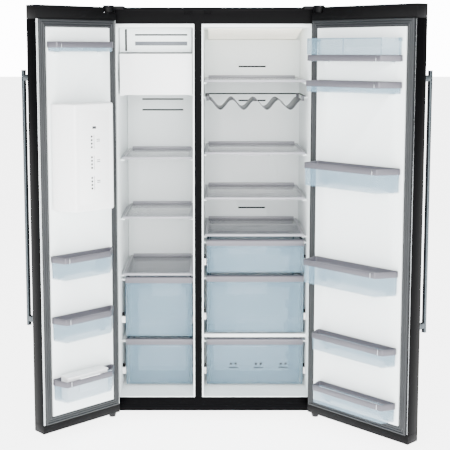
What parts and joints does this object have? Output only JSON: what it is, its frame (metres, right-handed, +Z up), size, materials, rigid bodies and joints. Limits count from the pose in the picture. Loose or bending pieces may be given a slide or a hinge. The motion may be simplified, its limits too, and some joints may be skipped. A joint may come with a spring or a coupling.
{
  "type": "side-by-side refrigerator",
  "caption": "Wide free-standing freezer and fridge with two full-height hinged doors, glass shelves, sliding drawers, lift-off door bins, bottle rack and an ice and water dispenser.",
  "frame": {"origin": "on the floor, at the middle of the cabinet's front plane", "axes": "+Z up, +Y from the front frame to the rear panel, +X to the right seen from the front; both doors are drawn swung open"},
  "size_m": [1.6096, 1.0867, 1.776],
  "materials": {
    "black_steel": "satin",
    "galvanised_steel": "matte",
    "foam": "matte",
    "white_liner": "satin",
    "black_glass": "gloss",
    "grey_seal": "matte",
    "brushed_handle": "satin",
    "clear_tub": "gloss",
    "shelf_glass": "gloss",
    "white_plastic": "satin",
    "black_plastic": "satin",
    "grey_plastic": "satin",
    "lamp_diffuser": "matte",
    "compressor_paint": "satin",
    "fin_aluminium": "satin",
    "zinc_steel": "satin",
    "rubber_foot": "matte",
    "nylon": "satin"
  },
  "bodies": {
    "cabinet": {"outer_case": "black_steel", "rear_panel": "galvanised_steel", "insulation": "foam", "freezer_liner": "white_liner", "fridge_liner": "white_liner", "front_frame": "black_steel", "base_frame": "black_steel", "compressor": "compressor_paint", "condenser": "fin_aluminium", "evaporator": "fin_aluminium", "machine_cover": "grey_plastic", "rear_connections": "nylon", "hinge_brackets": "zinc_steel", "hinge_covers": "black_plastic", "freezer_duct_cover": "white_liner", "fridge_duct_cover": "white_liner", "lamp_cover": "lamp_diffuser", "ice_maker": "white_plastic", "fixed_shelves": "shelf_glass"},
    "freezer_door": {"freezer_door_shell": "black_glass", "freezer_door_core": "foam", "freezer_door_liner": "white_liner", "freezer_door_seal": "grey_seal", "freezer_door_handle": "brushed_handle", "dispenser_housing": "white_plastic", "dispenser_niche": "black_plastic"},
    "fridge_door": {"fridge_door_shell": "black_glass", "fridge_door_core": "foam", "fridge_door_liner": "white_liner", "fridge_door_seal": "grey_seal", "fridge_door_handle": "brushed_handle", "dairy_box": "clear_tub"},
    "condenser_fan_body": {"condenser_fan": "black_plastic"},
    "evaporator_fan_body": {"evaporator_fan": "nylon"},
    "foot_left_body": {"foot_left": "rubber_foot"},
    "foot_right_body": {"foot_right": "rubber_foot"},
    "rear_rollers_body": {"rear_rollers": "nylon"},
    "ice_bin_body": {"ice_bin": "white_plastic"},
    "freezer_shelf_upper_body": {"freezer_shelf_upper": "shelf_glass"},
    "freezer_shelf_middle_body": {"freezer_shelf_middle": "shelf_glass"},
    "freezer_drawer_upper_body": {"freezer_drawer_upper": "clear_tub"},
    "freezer_drawer_lower_body": {"freezer_drawer_lower": "clear_tub"},
    "fridge_shelf_top_body": {"fridge_shelf_top": "shelf_glass"},
    "fridge_shelf_upper_body": {"fridge_shelf_upper": "shelf_glass"},
    "fridge_shelf_middle_body": {"fridge_shelf_middle": "shelf_glass"},
    "bottle_rack_body": {"bottle_rack": "grey_plastic"},
    "fridge_drawer_upper_body": {"fridge_drawer_upper": "clear_tub"},
    "fridge_drawer_middle_body": {"fridge_drawer_middle": "clear_tub"},
    "fridge_drawer_lower_body": {"fridge_drawer_lower": "clear_tub"},
    "dispenser_paddle_body": {"dispenser_paddle": "grey_plastic"},
    "freezer_bin_1_body": {"freezer_bin_1": "clear_tub"},
    "freezer_bin_2_body": {"freezer_bin_2": "clear_tub"},
    "freezer_bin_3_body": {"freezer_bin_3": "clear_tub"},
    "freezer_bin_4_body": {"freezer_bin_4": "clear_tub"},
    "dairy_flap_body": {"dairy_flap": "clear_tub"},
    "fridge_bin_1_body": {"fridge_bin_1": "clear_tub"},
    "fridge_bin_2_body": {"fridge_bin_2": "clear_tub"},
    "fridge_bin_3_body": {"fridge_bin_3": "clear_tub"},
    "fridge_bin_4_body": {"fridge_bin_4": "clear_tub"},
    "fridge_bin_5_body": {"fridge_bin_5": "clear_tub"}
  },
  "joints": [
    {"name": "freezer_door_swing", "type": "hinge", "parent": "cabinet", "child": "freezer_door", "pos_m": [-0.438, -0.043, 0], "axis": [0, 0, -1], "range_deg": [-137, 13]},
    {"name": "fridge_door_swing", "type": "hinge", "parent": "cabinet", "child": "fridge_door", "pos_m": [0.438, -0.043, 0], "axis": [0, 0, 1], "range_deg": [-134, 16]},
    {"name": "condenser_fan_spin", "type": "hinge", "parent": "cabinet", "child": "condenser_fan_body", "pos_m": [-0.18, 0.547, 0.138], "axis": [1, 0, 0], "continuous": true},
    {"name": "evaporator_fan_spin", "type": "hinge", "parent": "cabinet", "child": "evaporator_fan_body", "pos_m": [-0.249, 0.55, 1.01], "axis": [0, 1, 0], "continuous": true},
    {"name": "foot_left_turn", "type": "hinge", "parent": "cabinet", "child": "foot_left_body", "pos_m": [-0.365, 0.11, 0.015], "axis": [0, 0, 1], "continuous": true},
    {"name": "foot_right_turn", "type": "hinge", "parent": "cabinet", "child": "foot_right_body", "pos_m": [0.365, 0.11, 0.015], "axis": [0, 0, 1], "continuous": true},
    {"name": "rear_rollers_roll", "type": "hinge", "parent": "cabinet", "child": "rear_rollers_body", "pos_m": [0, 0.6, 0.014], "axis": [1, 0, 0], "continuous": true},
    {"name": "ice_bin_slide", "type": "slide", "parent": "cabinet", "child": "ice_bin_body", "axis": [0, -1, 0], "range_m": [0, 0.3]},
    {"name": "freezer_shelf_upper_slide", "type": "slide", "parent": "cabinet", "child": "freezer_shelf_upper_body", "axis": [0, -1, 0], "range_m": [0, 0.25]},
    {"name": "freezer_shelf_middle_slide", "type": "slide", "parent": "cabinet", "child": "freezer_shelf_middle_body", "axis": [0, -1, 0], "range_m": [0, 0.25]},
    {"name": "fridge_shelf_top_slide", "type": "slide", "parent": "cabinet", "child": "fridge_shelf_top_body", "axis": [0, -1, 0], "range_m": [0, 0.22]},
    {"name": "fridge_shelf_upper_slide", "type": "slide", "parent": "cabinet", "child": "fridge_shelf_upper_body", "axis": [0, -1, 0], "range_m": [0, 0.22]},
    {"name": "fridge_shelf_middle_slide", "type": "slide", "parent": "cabinet", "child": "fridge_shelf_middle_body", "axis": [0, -1, 0], "range_m": [0, 0.22]},
    {"name": "bottle_rack_slide", "type": "slide", "parent": "cabinet", "child": "bottle_rack_body", "axis": [0, -1, 0], "range_m": [0, 0.22]},
    {"name": "freezer_drawer_upper_slide", "type": "slide", "parent": "cabinet", "child": "freezer_drawer_upper_body", "axis": [0, -1, 0], "range_m": [0, 0.26]},
    {"name": "freezer_drawer_lower_slide", "type": "slide", "parent": "cabinet", "child": "freezer_drawer_lower_body", "axis": [0, -1, 0], "range_m": [0, 0.26]},
    {"name": "fridge_drawer_upper_slide", "type": "slide", "parent": "cabinet", "child": "fridge_drawer_upper_body", "axis": [0, -1, 0], "range_m": [0, 0.22]},
    {"name": "fridge_drawer_middle_slide", "type": "slide", "parent": "cabinet", "child": "fridge_drawer_middle_body", "axis": [0, -1, 0], "range_m": [0, 0.26]},
    {"name": "fridge_drawer_lower_slide", "type": "slide", "parent": "cabinet", "child": "fridge_drawer_lower_body", "axis": [0, -1, 0], "range_m": [0, 0.26]},
    {"name": "freezer_bin_1_lift", "type": "slide", "parent": "freezer_door", "child": "freezer_bin_1_body", "axis": [0, 0, 1], "range_m": [0, 0.03]},
    {"name": "freezer_bin_2_lift", "type": "slide", "parent": "freezer_door", "child": "freezer_bin_2_body", "axis": [0, 0, 1], "range_m": [0, 0.03]},
    {"name": "freezer_bin_3_lift", "type": "slide", "parent": "freezer_door", "child": "freezer_bin_3_body", "axis": [0, 0, 1], "range_m": [0, 0.03]},
    {"name": "freezer_bin_4_lift", "type": "slide", "parent": "freezer_door", "child": "freezer_bin_4_body", "axis": [0, 0, 1], "range_m": [0, 0.03]},
    {"name": "fridge_bin_1_lift", "type": "slide", "parent": "fridge_door", "child": "fridge_bin_1_body", "axis": [0, 0, 1], "range_m": [0, 0.03]},
    {"name": "fridge_bin_2_lift", "type": "slide", "parent": "fridge_door", "child": "fridge_bin_2_body", "axis": [0, 0, 1], "range_m": [0, 0.03]},
    {"name": "fridge_bin_3_lift", "type": "slide", "parent": "fridge_door", "child": "fridge_bin_3_body", "axis": [0, 0, 1], "range_m": [0, 0.03]},
    {"name": "fridge_bin_4_lift", "type": "slide", "parent": "fridge_door", "child": "fridge_bin_4_body", "axis": [0, 0, 1], "range_m": [0, 0.03]},
    {"name": "fridge_bin_5_lift", "type": "slide", "parent": "fridge_door", "child": "fridge_bin_5_body", "axis": [0, 0, 1], "range_m": [0, 0.03]},
    {"name": "dispenser_paddle_press", "type": "hinge", "parent": "freezer_door", "child": "dispenser_paddle_body", "pos_m": [-0.53244, -0.21995, 1.267], "axis": [-0.7314, -0.682, 0], "range_deg": [0, 15], "stiffness_Nm_per_rad": 0.6},
    {"name": "dairy_flap_lift", "type": "hinge", "parent": "fridge_door", "child": "dairy_flap_body", "pos_m": [0.56818, -0.25266, 1.633], "axis": [-0.6947, 0.7193, 0], "range_deg": [0, 75]}
  ]
}
